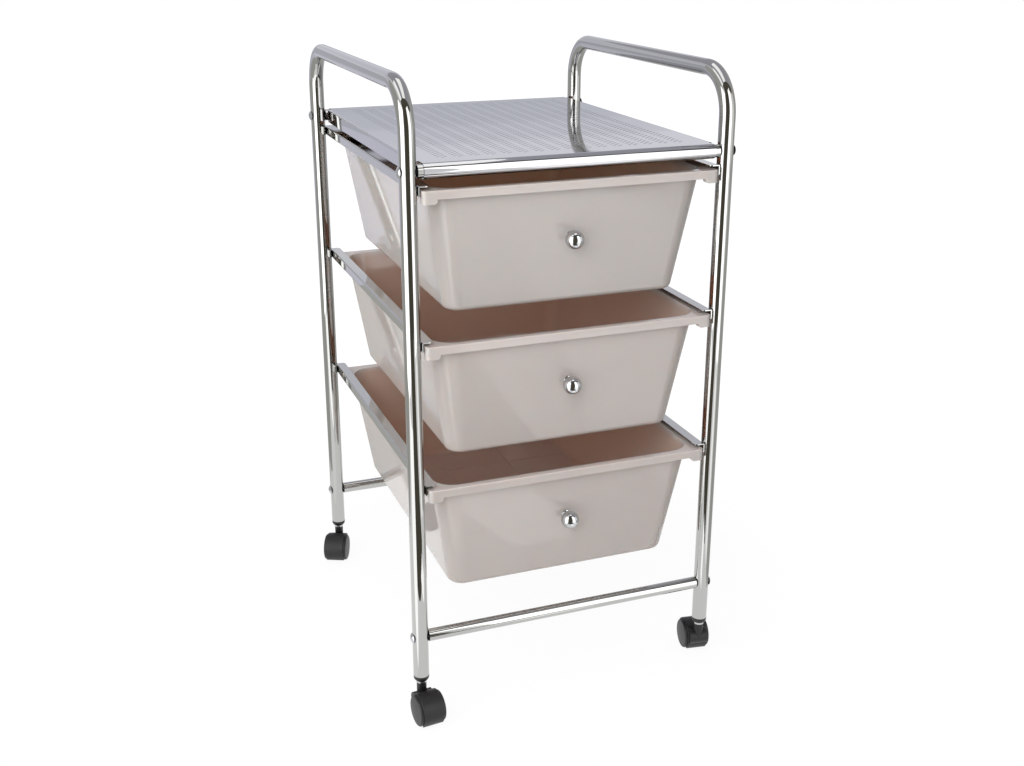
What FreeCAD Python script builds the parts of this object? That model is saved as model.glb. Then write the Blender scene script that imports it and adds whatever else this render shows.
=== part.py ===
import FreeCAD, Part

import math
import os
import re

import Sketcher

# Three-drawer trolley on four twin-wheel casters.
# Frame: +X to the right of a person facing the drawer fronts, +Y to the back,
# +Z up, origin on the floor under the middle of the four legs. Millimetres.

SIZES = {
    # side frames: one bent tube each, leg - handle bar - leg
    "leg_spacing_x": 318.2,
    "leg_spacing_y": 369.4,
    "frame_tube_dia": 16.0,
    "frame_tube_wall": 1.0,
    "handle_bend_radius": 42.0,
    "handle_rise": 74.6,
    "leg_below_cross_tube": 43.2,
    # tubes that join the two side frames
    "cross_tube_dia": 12.5,
    "cross_tube_wall": 0.9,
    "cross_tube_end_gap": 0.4,
    "cross_tube_above_rail": 12.65,
    # threaded inserts in the cross tubes and the screws through the legs
    "insert_length": 16.0,
    "insert_gap": 0.1,
    "screw_dia": 5.0,
    "screw_hole_gap": 0.2,
    "screw_bite": 12.0,
    "screw_head_dia": 11.0,
    "screw_head_height": 2.6,
    # shelf: one sheet rolled round both upper cross tubes, sides folded down
    "shelf_sheet": 0.8,
    "shelf_roll_gap": 0.05,
    "shelf_width": 299.0,
    "shelf_roll_inset": 4.0,
    "shelf_flange_height": 14.0,
    "shelf_fold_radius": 2.0,
    "shelf_leg_gap": 1.7,
    "shelf_roll_lap": 5.2,
    # drawer rails: channels welded to the insides of the legs
    "weld_gap": 0.05,
    "rail_sheet": 1.0,
    "rail_width": 10.8,
    "rail_fold_radius": 1.5,
    "rail_overrun": 5.3,
    "rail_nose_radius": 4.0,
    "rail_headroom": 3.0,
    "rail_stop_gap": 0.2,
    # drawers: tapered moulded bins hung by their rims
    "drawer_above_cross_tube": 33.5,
    "drawer_height": 122.0,
    "drawer_gap": 23.5,
    "drawer_wall": 1.8,
    "drawer_floor": 2.2,
    "drawer_draft": 20.0,
    "drawer_top_corner": 24.0,
    "drawer_bottom_corner": 16.0,
    "drawer_foot_radius": 6.0,
    "drawer_floor_radius": 4.5,
    "lip_proud": 1.3,
    "lip_depth": 8.0,
    "lip_edge_radius": 0.8,
    "rim_side_gap": 2.6,
    "rim_rear_inset": 1.7,
    "rim_plate": 2.0,
    "rim_skirt_wall": 1.8,
    "rim_skirt_depth": 5.0,
    "rim_side_overhang": 9.0,
    "rim_front_overhang": 5.15,
    "rim_rear_overhang": 9.35,
    "rim_front_corner": 4.5,
    "rim_rear_corner": 9.0,
    "stop_pad_width": 14.0,
    "stop_pad_thickness": 7.0,
    "stop_pad_height": 12.5,
    "stop_pad_corner": 3.5,
    "floor_rib_width": 1.2,
    "floor_rib_height": 0.6,
    "floor_rib_spacing_x": 80.0,
    "floor_rib_spacing_y": 107.0,
    # knobs and their screws
    "knob_drop": 55.0,
    "knob_ball_dia": 18.4,
    "knob_neck_length": 0.7,
    "knob_neck_dia": 6.4,
    "knob_base_dia": 9.5,
    "knob_base_height": 1.0,
    "knob_bore_depth": 9.0,
    "knob_screw_dia": 4.0,
    "knob_screw_gap": 0.05,
    "knob_screw_bite": 8.0,
    "knob_screw_head_dia": 8.0,
    "knob_screw_head_height": 2.4,
    # casters: black nylon twin wheels under a hood, on a plug-in stem
    "wheel_dia": 31.5,
    "wheel_half_span": 14.3,
    "wheel_edge_radius": 2.0,
    "wheel_dome": 0.5,
    "wheel_tread_wall": 1.8,
    "wheel_disc": 3.2,
    "wheel_hub_dia": 9.2,
    "wheel_side_gap": 0.3,
    "axle_dia": 4.0,
    "axle_gap": 0.05,
    "axle_half_length": 12.6,
    "caster_trail": 16.5,
    "hood_dia": 34.8,
    "hood_half_width": 11.0,
    "hood_wall": 1.2,
    "hood_edge_radius": 0.8,
    "hood_web": 3.0,
    "hood_boss_dia": 8.0,
    "hood_boss_half_width": 5.5,
    "hood_ground_gap": 3.0,
    "hood_brow_dia": 16.0,
    "hood_brow_height": 3.75,
    "hood_brow_proud": 0.4,
    "neck_dia": 10.0,
    "neck_rise": 22.0,
    "stem_dia": 7.0,
    "stem_gap": 0.1,
    "stem_press_gap": 0.03,
    "stem_grip": 12.5,
    "stem_groove_depth": 0.8,
    "stem_tip_height": 4.0,
    "stem_tip_taper": 1.2,
    "clip_dia": 10.0,
    "clip_thickness": 1.2,
    "clip_gap": 0.2,
    "washer_dia": 10.6,
    "washer_thickness": 2.0,
    "collar_height": 6.4,
    "collar_band": 2.0,
    "plug_length": 24.0,
    "plug_gap": 0.1,
    "plug_lead": 1.0,
}

# The way each caster happens to point, in degrees about its stem
SWIVELS = {
    "front_left": 6.0,
    "front_right": 171.0,
    "rear_left": 335.0,
    "rear_right": 152.0,
}
LEVELS = ("bottom", "middle", "top")

# Places that follow from the sizes, written as formulas of their names
LEG_X = "leg_spacing_x / 2"
LEG_Y = "leg_spacing_y / 2"
TUBE_R = "frame_tube_dia / 2"
TUBE_INNER_R = "(frame_tube_dia / 2 - frame_tube_wall)"
CROSS_R = "cross_tube_dia / 2"
CROSS_INNER_R = "(cross_tube_dia / 2 - cross_tube_wall)"
WHEEL_R = "wheel_dia / 2"
NECK_TOP = f"({WHEEL_R} + neck_rise)"
WASHER_TOP = f"({NECK_TOP} + washer_thickness)"
LEG_END = f"({WASHER_TOP} + collar_height)"
PLUG_TOP = f"({LEG_END} + plug_length)"
LOWER_TUBE_Z = f"({LEG_END} + leg_below_cross_tube)"
BOTTOM_LIP_Z = f"({LOWER_TUBE_Z} + {CROSS_R} + drawer_above_cross_tube + drawer_height)"
RAIL_HEIGHT = "(rim_skirt_depth + rail_headroom + 2 * rail_sheet)"
RAIL_OVER_LIP = "(rail_headroom + rail_sheet)"
RAIL_OUTER_X = f"({LEG_X} - {TUBE_R} - weld_gap)"
RAIL_INNER_X = f"({RAIL_OUTER_X} - rail_width)"
RAIL_END_Y = f"({LEG_Y} + rail_overrun)"
LIP_FRONT_Y = f"(-({LEG_Y} + {TUBE_R} + lip_proud))"
RIM_REAR_Y = f"({LEG_Y} - rim_rear_inset)"
RIM_X = f"({LEG_X} - {TUBE_R} - rim_side_gap)"
BIN_TOP_X = f"({RIM_X} - rim_side_overhang)"
BIN_FRONT_Y = f"({LIP_FRONT_Y} + rim_front_overhang)"
BIN_REAR_Y = f"({RIM_REAR_Y} - rim_rear_overhang)"
BIN_MIDDLE_Y = f"(({BIN_FRONT_Y} + {BIN_REAR_Y}) / 2)"
DRAFT_ANGLE = "atan(drawer_draft / drawer_height)"
KNOB_Y = f"({BIN_FRONT_Y} + drawer_draft * knob_drop / drawer_height)"

doc = FreeCAD.newDocument("drawer_trolley")
sheet = doc.addObject("Spreadsheet::Sheet", "Sizes")
for row, (size_name, number) in enumerate(SIZES.items(), start=1):
    sheet.set(f"A{row}", size_name)
    sheet.set(f"B{row}", str(number))
    sheet.setAlias(f"B{row}", size_name)
doc.recompute()

nodes = {}


def value(formula):
    """The number that a formula of size names gives."""
    found = sheet.evalExpression(formula)
    return float(getattr(found, "Value", found))


def term(formula):
    """The same formula, with its names pointing at the sheet."""

    def point_at_sheet(match):
        word = match.group()
        return f"Sizes.{word}" if word in SIZES else word

    return re.sub(r"[a-z][a-z_]*", point_at_sheet, formula)


def bind(target, field, formula):
    target.setExpression(field, term(formula))


def lip_z(level):
    """Height of a drawer's lip above the floor; level 0 is the lowest."""
    return f"({BOTTOM_LIP_Z} + {level} * (drawer_height + drawer_gap))"


SHELF_TUBE_Z = f"({lip_z(len(LEVELS) - 1)} + {RAIL_OVER_LIP} + cross_tube_above_rail)"
HANDLE_Z = f"({SHELF_TUBE_Z} + handle_rise)"


def new_body(name):
    body = doc.addObject("PartDesign::Body", name)
    body.Label = name
    return body


def keep(name, shape_object):
    """Name an object as one of the trolley's sub-parts."""
    shape_object.Label = name
    nodes[name] = shape_object
    return shape_object


def place(target, x="0", y="0", z="0", turn=None, axis=(0, 0, 1)):
    """Put an object at x, y, z, turned by a formula in degrees about an axis."""
    target.Placement = FreeCAD.Placement(
        FreeCAD.Vector(value(x), value(y), value(z)),
        FreeCAD.Rotation(FreeCAD.Vector(*axis), value(turn) if turn else 0),
    )
    bind(target, "Placement.Base.x", x)
    bind(target, "Placement.Base.y", y)
    bind(target, "Placement.Base.z", z)
    if turn:
        bind(target, "Placement.Rotation.Angle", turn)


def datum(body, role):
    return next(item for item in body.Origin.OriginFeatures if item.Role == role)


def new_sketch(body, plane, offset=None):
    sketch = body.newObject("Sketcher::SketchObject", f"{body.Name}_sketch")
    sketch.AttachmentSupport = [(datum(body, plane), "")]
    sketch.MapMode = "FlatFace"
    if offset:
        bind(sketch, "AttachmentOffset.Base.z", offset)
    return sketch


def pin(sketch, direction, geometry, end, formula):
    """Hold one coordinate of a point at a formula's value."""
    if formula == "0":
        axis = -2 if direction == "DistanceX" else -1
        sketch.addConstraint(Sketcher.Constraint("PointOnObject", geometry, end, axis))
        return
    rule = Sketcher.Constraint(direction, -1, 1, geometry, end, value(formula))
    index = sketch.addConstraint(rule)
    bind(sketch, f"Constraints[{index}]", formula)


def circle(sketch, x, y, radius):
    centre = FreeCAD.Vector(value(x), value(y), 0)
    index = sketch.addGeometry(Part.Circle(centre, FreeCAD.Vector(0, 0, 1), value(radius)))
    pin(sketch, "DistanceX", index, 3, x)
    pin(sketch, "DistanceY", index, 3, y)
    rule = sketch.addConstraint(Sketcher.Constraint("Radius", index, value(radius)))
    bind(sketch, f"Constraints[{rule}]", radius)


def outline(sketch, corners, closed=True):
    """Draw lines and arcs from corner to corner.

    A corner is (x, y), or (x, y, centre_x, centre_y, turn) where an arc starts:
    turn is 1 for anticlockwise and -1 for clockwise.
    """
    spots = [FreeCAD.Vector(value(corner[0]), value(corner[1]), 0) for corner in corners]
    runs = len(corners) if closed else len(corners) - 1
    ends = []
    for i in range(runs):
        start, finish = spots[i], spots[(i + 1) % len(spots)]
        if len(corners[i]) == 2:
            index = sketch.addGeometry(Part.LineSegment(start, finish))
            ends.append((index, 1, 2))
            continue
        centre = FreeCAD.Vector(value(corners[i][2]), value(corners[i][3]), 0)
        whole = Part.Circle(centre, FreeCAD.Vector(0, 0, 1), (start - centre).Length)
        angles = [math.atan2(p.y - centre.y, p.x - centre.x) for p in (start, finish)]
        anticlockwise = corners[i][4] > 0
        if not anticlockwise:
            angles.reverse()
        index = sketch.addGeometry(Part.ArcOfCircle(whole, *angles))
        ends.append((index, 1, 2) if anticlockwise else (index, 2, 1))
        pin(sketch, "DistanceX", index, 3, corners[i][2])
        pin(sketch, "DistanceY", index, 3, corners[i][3])
    for i in range(runs):
        index, start_end, _ = ends[i]
        arc_before = (closed or i > 0) and len(corners[i - 1]) > 2
        if closed or i > 0:
            before, _, before_end = ends[i - 1]
            sketch.addConstraint(
                Sketcher.Constraint("Coincident", before, before_end, index, start_end)
            )
        directions = ["DistanceX", "DistanceY"]
        if arc_before:
            centre_x, centre_y = value(corners[i - 1][2]), value(corners[i - 1][3])
            steep = abs(spots[i].y - centre_y) > abs(spots[i].x - centre_x)
            directions = ["DistanceX"] if steep else ["DistanceY"]
        for direction in directions:
            pin(sketch, direction, index, start_end, corners[i][direction == "DistanceY"])
    if not closed:
        index, _, last_end = ends[-1]
        pin(sketch, "DistanceX", index, last_end, corners[-1][0])
        pin(sketch, "DistanceY", index, last_end, corners[-1][1])


def rounded(x_low, x_high, y_low, y_high, low_radius, high_radius):
    """Corners of a rectangle whose low-y and high-y corners have their radii."""
    return [
        (f"{x_low} + {low_radius}", y_low),
        (f"{x_high} - {low_radius}", y_low, f"{x_high} - {low_radius}", f"{y_low} + {low_radius}", 1),
        (x_high, f"{y_low} + {low_radius}"),
        (x_high, f"{y_high} - {high_radius}", f"{x_high} - {high_radius}", f"{y_high} - {high_radius}", 1),
        (f"{x_high} - {high_radius}", y_high),
        (f"{x_low} + {high_radius}", y_high, f"{x_low} + {high_radius}", f"{y_high} - {high_radius}", 1),
        (x_low, f"{y_high} - {high_radius}"),
        (x_low, f"{y_low} + {low_radius}", f"{x_low} + {low_radius}", f"{y_low} + {low_radius}", 1),
    ]


def box_corners(x_low, x_high, y_low, y_high):
    return [(x_low, y_low), (x_high, y_low), (x_high, y_high), (x_low, y_high)]


def grow(body, kind, sketch, length, symmetric, reverse):
    feature = body.newObject(f"PartDesign::{kind}", f"{body.Name}_{kind.lower()}")
    feature.Profile = sketch
    feature.SideType = "Symmetric" if symmetric else "One side"
    feature.Reversed = reverse
    bind(feature, "Length", length)
    doc.recompute()
    return feature


def pad(body, sketch, length, symmetric=False, reverse=False):
    return grow(body, "Pad", sketch, length, symmetric, reverse)


def pocket(body, sketch, length, symmetric=False, reverse=False):
    before = body.Shape.Volume
    feature = grow(body, "Pocket", sketch, length, symmetric, reverse)
    if not body.Shape.Volume < before:
        raise RuntimeError(f"{feature.Name} cuts nothing")
    return feature


def revolve(body, sketch, role):
    feature = body.newObject("PartDesign::Revolution", f"{body.Name}_revolution")
    feature.Profile = sketch
    feature.ReferenceAxis = (datum(body, role), [""])
    doc.recompute()
    return feature


def fillet(body, radius, wanted):
    """Round the edges of the body's present shape that a test picks."""
    doc.recompute()
    base = body.Tip
    names = [f"Edge{i}" for i, edge in enumerate(base.Shape.Edges, start=1) if wanted(edge)]
    feature = body.newObject("PartDesign::Fillet", f"{body.Name}_fillet")
    feature.Base = (base, names)
    bind(feature, "Radius", radius)
    doc.recompute()
    return feature


def lies_at(edge, axis, place_value):
    """Whether both the box faces of an edge lie at one place along an axis."""
    box = edge.BoundBox
    low, high = {"x": (box.XMin, box.XMax), "y": (box.YMin, box.YMax), "z": (box.ZMin, box.ZMax)}[axis]
    near = value("weld_gap") / 2
    return abs(low - place_value) < near and abs(high - place_value) < near


def make_side_frame(side, direction):
    """One tube bent into leg, handle bar and leg, drilled for its four screws."""
    body = new_body(f"side_frame_{side}")
    path = new_sketch(body, "YZ_Plane")
    bend_y = f"({LEG_Y} - handle_bend_radius)"
    bend_z = f"({HANDLE_Z} - handle_bend_radius)"
    outline(
        path,
        [
            (f"-{LEG_Y}", LEG_END),
            (f"-{LEG_Y}", bend_z, f"-{bend_y}", bend_z, -1),
            (f"-{bend_y}", HANDLE_Z),
            (bend_y, HANDLE_Z, bend_y, bend_z, -1),
            (LEG_Y, bend_z),
            (LEG_Y, LEG_END),
        ],
        closed=False,
    )
    section = new_sketch(body, "XY_Plane", LEG_END)
    circle(section, "0", f"-{LEG_Y}", TUBE_R)
    circle(section, "0", f"-{LEG_Y}", TUBE_INNER_R)
    doc.recompute()
    tube = body.newObject("PartDesign::AdditivePipe", f"{body.Name}_tube")
    tube.Profile = section
    tube.Spine = (path, [f"Edge{i}" for i in range(1, path.GeometryCount + 1)])
    doc.recompute()
    holes = new_sketch(body, "YZ_Plane")
    for hole_y in (f"-{LEG_Y}", LEG_Y):
        for hole_z in (LOWER_TUBE_Z, SHELF_TUBE_Z):
            circle(holes, hole_y, hole_z, "screw_dia / 2 + screw_hole_gap")
    pocket(body, holes, "2 * frame_tube_dia", symmetric=True)
    place(body, x=f"{direction} * {LEG_X}")
    keep(body.Name, body)


def make_cross_tube(name, y, z):
    """A straight tube between the two side frames."""
    body = new_body(name)
    ring = new_sketch(body, "YZ_Plane")
    circle(ring, "0", "0", CROSS_R)
    circle(ring, "0", "0", CROSS_INNER_R)
    pad(body, ring, f"2 * ({LEG_X} - {TUBE_R} - cross_tube_end_gap)", symmetric=True)
    place(body, y=y, z=z)
    keep(name, body)


def four_corners(name, members):
    """Mirror a front-left group to the back and then to the right."""
    front_left = doc.addObject("Part::Compound", f"{name}_front_left")
    front_left.Links = members
    group = front_left
    for word, normal in (("left", (0, 1, 0)), ("all", (1, 0, 0))):
        twin = doc.addObject("Part::Mirroring", f"{name}_{word}_twin")
        twin.Source = group
        twin.Normal = FreeCAD.Vector(*normal)
        both = doc.addObject("Part::Compound", f"{name}_{word}")
        both.Links = [group, twin]
        group = both
    keep(name, group)


def make_tube_inserts():
    """Eight plugs pressed into the cross tubes, each bored for its screw."""
    members = []
    for word, z in (("lower", LOWER_TUBE_Z), ("upper", SHELF_TUBE_Z)):
        body = new_body(f"tube_insert_{word}")
        ring = new_sketch(body, "YZ_Plane")
        circle(ring, "0", "0", f"{CROSS_INNER_R} - insert_gap")
        circle(ring, "0", "0", "screw_dia / 2 + screw_hole_gap")
        pad(body, ring, "insert_length")
        place(body, x=f"-({LEG_X} - {TUBE_R} - weld_gap)", y=f"-{LEG_Y}", z=z)
        members.append(body)
    four_corners("tube_inserts", members)


def make_frame_screws():
    """Eight domed screws through the legs into the inserts."""
    members = []
    for word, z in (("lower", LOWER_TUBE_Z), ("upper", SHELF_TUBE_Z)):
        body = new_body(f"frame_screw_{word}")
        shank_end = "(frame_tube_dia + screw_bite)"
        dome_r = (
            "((screw_head_dia * screw_head_dia / 4 + screw_head_height * screw_head_height)"
            " / (2 * screw_head_height))"
        )
        half = new_sketch(body, "XY_Plane")
        outline(
            half,
            [
                ("-screw_head_height", "0"),
                (shank_end, "0"),
                (shank_end, "screw_dia / 2"),
                ("0", "screw_dia / 2"),
                ("0", "screw_head_dia / 2", f"{dome_r} - screw_head_height", "0", 1),
            ],
        )
        revolve(body, half, "X_Axis")
        place(body, x=f"-({LEG_X} + {TUBE_R})", y=f"-{LEG_Y}", z=z)
        members.append(body)
    four_corners("frame_screws", members)


def make_shelf():
    """Sheet shelf: rolled edges round the cross tubes, then the side flanges."""
    body = new_body("top_shelf")
    inner = f"({CROSS_R} + shelf_roll_gap)"
    outer = f"({CROSS_R} + shelf_roll_gap + shelf_sheet)"
    lap_rise = f"sqrt({inner} * {inner} - shelf_roll_lap * shelf_roll_lap)"
    lap_share = f"({outer} / {inner})"
    roll = new_sketch(body, "YZ_Plane", None)
    outline(
        roll,
        [
            (LEG_Y, outer, LEG_Y, "0", -1),
            (f"{LEG_Y} - shelf_roll_lap * {lap_share}", f"-{lap_rise} * {lap_share}"),
            (f"{LEG_Y} - shelf_roll_lap", f"-{lap_rise}", LEG_Y, "0", 1),
            (LEG_Y, inner),
            (f"-{LEG_Y}", inner, f"-{LEG_Y}", "0", 1),
            (f"-{LEG_Y} + shelf_roll_lap", f"-{lap_rise}"),
            (
                f"-{LEG_Y} + shelf_roll_lap * {lap_share}",
                f"-{lap_rise} * {lap_share}",
                f"-{LEG_Y}",
                "0",
                -1,
            ),
            (f"-{LEG_Y}", outer),
        ],
    )
    pad(body, roll, "shelf_width - 2 * shelf_roll_inset", symmetric=True)
    edge = "shelf_width / 2"
    foot = f"({outer} - shelf_flange_height)"
    fold = "shelf_fold_radius"
    fold_inner = "(shelf_fold_radius - shelf_sheet)"
    section = new_sketch(body, "XZ_Plane")
    outline(
        section,
        [
            (f"{edge} - {fold}", outer, f"{edge} - {fold}", f"{outer} - {fold}", -1),
            (edge, f"{outer} - {fold}"),
            (edge, foot),
            (f"{edge} - shelf_sheet", foot),
            (
                f"{edge} - shelf_sheet",
                f"{outer} - {fold}",
                f"{edge} - {fold}",
                f"{outer} - {fold}",
                1,
            ),
            (f"{edge} - {fold}", f"{outer} - {fold} + {fold_inner}"),
            (
                f"-({edge} - {fold})",
                f"{outer} - {fold} + {fold_inner}",
                f"-({edge} - {fold})",
                f"{outer} - {fold}",
                1,
            ),
            (f"-({edge} - shelf_sheet)", f"{outer} - {fold}"),
            (f"-({edge} - shelf_sheet)", foot),
            (f"-{edge}", foot),
            (f"-{edge}", f"{outer} - {fold}", f"-({edge} - {fold})", f"{outer} - {fold}", -1),
            (f"-({edge} - {fold})", outer),
        ],
    )
    pad(body, section, f"2 * ({LEG_Y} - {TUBE_R} - shelf_leg_gap)", symmetric=True)
    place(body, z=SHELF_TUBE_Z)
    keep(body.Name, body)


def make_rails(level, word):
    """A left channel rail and its mirror image, for one drawer."""
    body = new_body(f"rail_left_{word}")
    low = f"(-{RAIL_HEIGHT})"
    fold = "rail_fold_radius"
    section = new_sketch(body, "XZ_Plane")
    outline(
        section,
        [
            (f"-{RAIL_INNER_X}", "0"),
            (f"-{RAIL_OUTER_X} + {fold}", "0", f"-{RAIL_OUTER_X} + {fold}", f"-{fold}", 1),
            (f"-{RAIL_OUTER_X}", f"-{fold}"),
            (f"-{RAIL_OUTER_X}", f"{low} + {fold}", f"-{RAIL_OUTER_X} + {fold}", f"{low} + {fold}", 1),
            (f"-{RAIL_OUTER_X} + {fold}", low),
            (f"-{RAIL_INNER_X}", low),
            (f"-{RAIL_INNER_X}", f"{low} + rail_sheet"),
            (f"-{RAIL_OUTER_X} + rail_sheet", f"{low} + rail_sheet"),
            (f"-{RAIL_OUTER_X} + rail_sheet", "-rail_sheet"),
            (f"-{RAIL_INNER_X}", "-rail_sheet"),
        ],
    )
    pad(body, section, f"2 * {RAIL_END_Y}", symmetric=True)
    notch = new_sketch(body, "XY_Plane", f"{low} - rail_sheet")
    stop_y = f"({LIP_FRONT_Y} + stop_pad_thickness + rail_stop_gap)"
    outline(
        notch,
        box_corners(
            f"-{RAIL_OUTER_X} + rail_sheet",
            f"-{RAIL_INNER_X} + rail_sheet",
            f"-{RAIL_END_Y} - rail_sheet",
            stop_y,
        ),
    )
    pocket(body, notch, "3 * rail_sheet", reverse=True)
    inner_x = value(f"-{RAIL_INNER_X}")
    fillet(
        body,
        "rail_nose_radius",
        lambda edge: lies_at(edge, "x", inner_x)
        and abs(abs(edge.CenterOfMass.y) - value(RAIL_END_Y)) < value("rail_sheet")
        and edge.BoundBox.ZLength > value("rail_sheet") / 2,
    )
    place(body, z=f"{lip_z(level)} + {RAIL_OVER_LIP}")
    keep(body.Name, body)
    twin = doc.addObject("Part::Mirroring", f"rail_right_{word}")
    twin.Source = body
    twin.Normal = FreeCAD.Vector(1, 0, 0)
    keep(twin.Name, twin)


def make_drawer(level, word):
    """A moulded bin: drafted walls, rim with skirt, front lip and stop pads."""
    body = new_body(f"drawer_{word}")

    def bin_corners(depth, wall):
        """Outline of the bin at a depth below its lip, inset by a wall."""
        inset = f"({wall} + drawer_draft * {depth} / drawer_height)"
        corner = (
            f"(drawer_top_corner - {wall}"
            f" - (drawer_top_corner - drawer_bottom_corner) * {depth} / drawer_height)"
        )
        half = f"({BIN_TOP_X} - {inset})"
        front = f"({BIN_FRONT_Y} + {inset})"
        rear = f"({BIN_REAR_Y} - {inset})"
        return rounded(f"-{half}", half, front, rear, corner, corner)

    def loft(kind, depth, wall):
        top = new_sketch(body, "XY_Plane")
        outline(top, bin_corners("0", wall))
        bottom = new_sketch(body, "XY_Plane", f"-{depth}")
        outline(bottom, bin_corners(depth, wall))
        doc.recompute()
        feature = body.newObject(f"PartDesign::{kind}", f"{body.Name}_{kind.lower()}")
        feature.Profile = top
        feature.Sections = [bottom]
        feature.Ruled = True
        doc.recompute()

    loft("AdditiveLoft", "drawer_height", "0")
    floor_z = value("-drawer_height")
    fillet(body, "drawer_foot_radius", lambda edge: lies_at(edge, "z", floor_z))

    def rim_outline(sketch, inset):
        half = f"({RIM_X} - {inset})"
        outline(
            sketch,
            rounded(
                f"-{half}",
                half,
                f"({LIP_FRONT_Y} + {inset})",
                f"({RIM_REAR_Y} - {inset})",
                f"(rim_front_corner - {inset})",
                f"(rim_rear_corner - {inset})",
            ),
        )

    plate = new_sketch(body, "XY_Plane")
    rim_outline(plate, "0")
    pad(body, plate, "rim_plate", reverse=True)
    skirt = new_sketch(body, "XY_Plane")
    rim_outline(skirt, "0")
    rim_outline(skirt, "rim_skirt_wall")
    pad(body, skirt, "rim_skirt_depth", reverse=True)

    lip_back = f"({LIP_FRONT_Y} + rim_skirt_wall)"
    pad_back = f"({LIP_FRONT_Y} + stop_pad_thickness)"
    pad_inner = f"({RIM_X} - stop_pad_width)"
    lip = new_sketch(body, "XY_Plane")
    lip_end = f"{pad_inner} + rim_skirt_wall"
    outline(lip, box_corners(f"-({lip_end})", lip_end, LIP_FRONT_Y, lip_back))
    pad(body, lip, "lip_depth", reverse=True)
    corner = "rim_front_corner"
    front_corner_y = f"({LIP_FRONT_Y} + {corner})"
    for turn in (-1, 1):
        outer = f"{turn} * {RIM_X}"
        corner_x = f"{turn} * ({RIM_X} - {corner})"
        stop = new_sketch(body, "XY_Plane")
        outline(
            stop,
            [
                (f"{turn} * {pad_inner}", LIP_FRONT_Y),
                (corner_x, LIP_FRONT_Y, corner_x, front_corner_y, turn),
                (outer, front_corner_y),
                (outer, pad_back),
                (f"{turn} * {pad_inner}", pad_back),
            ],
        )
        pad(body, stop, "stop_pad_height", reverse=True)
    pad_low = value("-stop_pad_height")
    inner_x = value(pad_inner)
    fillet(
        body,
        "stop_pad_corner",
        lambda edge: lies_at(edge, "z", pad_low)
        and (lies_at(edge, "x", inner_x) or lies_at(edge, "x", -inner_x)),
    )
    for turn in (-1, 1):
        sides = [f"{turn} * ({pad_inner} + rim_skirt_wall)", f"{turn} * ({RIM_X} - rim_skirt_wall)"]
        hollow = new_sketch(body, "XY_Plane", "-stop_pad_height")
        outline(hollow, box_corners(*sides[::turn], lip_back, f"{pad_back} - rim_skirt_wall"))
        pocket(body, hollow, "stop_pad_height - rim_plate", reverse=True)

    loft("SubtractiveLoft", "(drawer_height - drawer_floor)", "drawer_wall")
    inner_floor = value("drawer_floor - drawer_height")
    fillet(body, "drawer_floor_radius", lambda edge: lies_at(edge, "z", inner_floor))

    ribs = new_sketch(body, "XY_Plane", "drawer_floor - drawer_height")
    rib = "floor_rib_width / 2"
    reach_x = f"({BIN_TOP_X} - drawer_draft - drawer_floor_radius)"
    reach_low = f"({BIN_FRONT_Y} + drawer_draft + drawer_floor_radius)"
    reach_high = f"({BIN_REAR_Y} - drawer_draft - drawer_floor_radius)"
    for turn in (-1, 1):
        middle = f"{turn} * floor_rib_spacing_x / 2"
        outline(ribs, box_corners(f"{middle} - {rib}", f"{middle} + {rib}", reach_low, reach_high))
    pad(body, ribs, "floor_rib_height")
    cross_ribs = new_sketch(body, "XY_Plane", "drawer_floor - drawer_height")
    for step in (-1, 0, 1):
        middle = f"({BIN_MIDDLE_Y} + {step} * floor_rib_spacing_y)"
        outline(cross_ribs, box_corners(f"-{reach_x}", reach_x, f"{middle} - {rib}", f"{middle} + {rib}"))
    pad(body, cross_ribs, "floor_rib_height")

    hole = body.newObject("PartDesign::SubtractiveCylinder", f"{body.Name}_knob_hole")
    bind(hole, "Radius", "knob_screw_dia / 2 + knob_screw_gap")
    bind(hole, "Height", "4 * drawer_wall")
    place(
        hole,
        y=f"{KNOB_Y} + 2 * drawer_wall * cos({DRAFT_ANGLE})",
        z=f"-knob_drop + 2 * drawer_wall * sin({DRAFT_ANGLE})",
        turn=f"90 + {DRAFT_ANGLE} / 1deg",
        axis=(1, 0, 0),
    )
    top_edge = value("0")
    fillet(
        body,
        "lip_edge_radius",
        lambda edge: lies_at(edge, "z", top_edge)
        and (
            edge.BoundBox.XMax > value(f"{RIM_X} - rim_rear_corner")
            or edge.BoundBox.XMin < -value(f"{RIM_X} - rim_rear_corner")
            or abs(edge.CenterOfMass.y - value(LIP_FRONT_Y)) < value("rim_skirt_wall")
            or abs(edge.CenterOfMass.y - value(RIM_REAR_Y)) < value("rim_skirt_wall")
        ),
    )
    place(body, z=lip_z(level))
    keep(body.Name, body)


def place_on_front(body, level):
    """Stand a turned piece on the drawer's drafted front, pointing outwards."""
    place(
        body,
        y=KNOB_Y,
        z=f"{lip_z(level)} - knob_drop",
        turn=f"90 + {DRAFT_ANGLE} / 1deg",
        axis=(1, 0, 0),
    )


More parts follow.
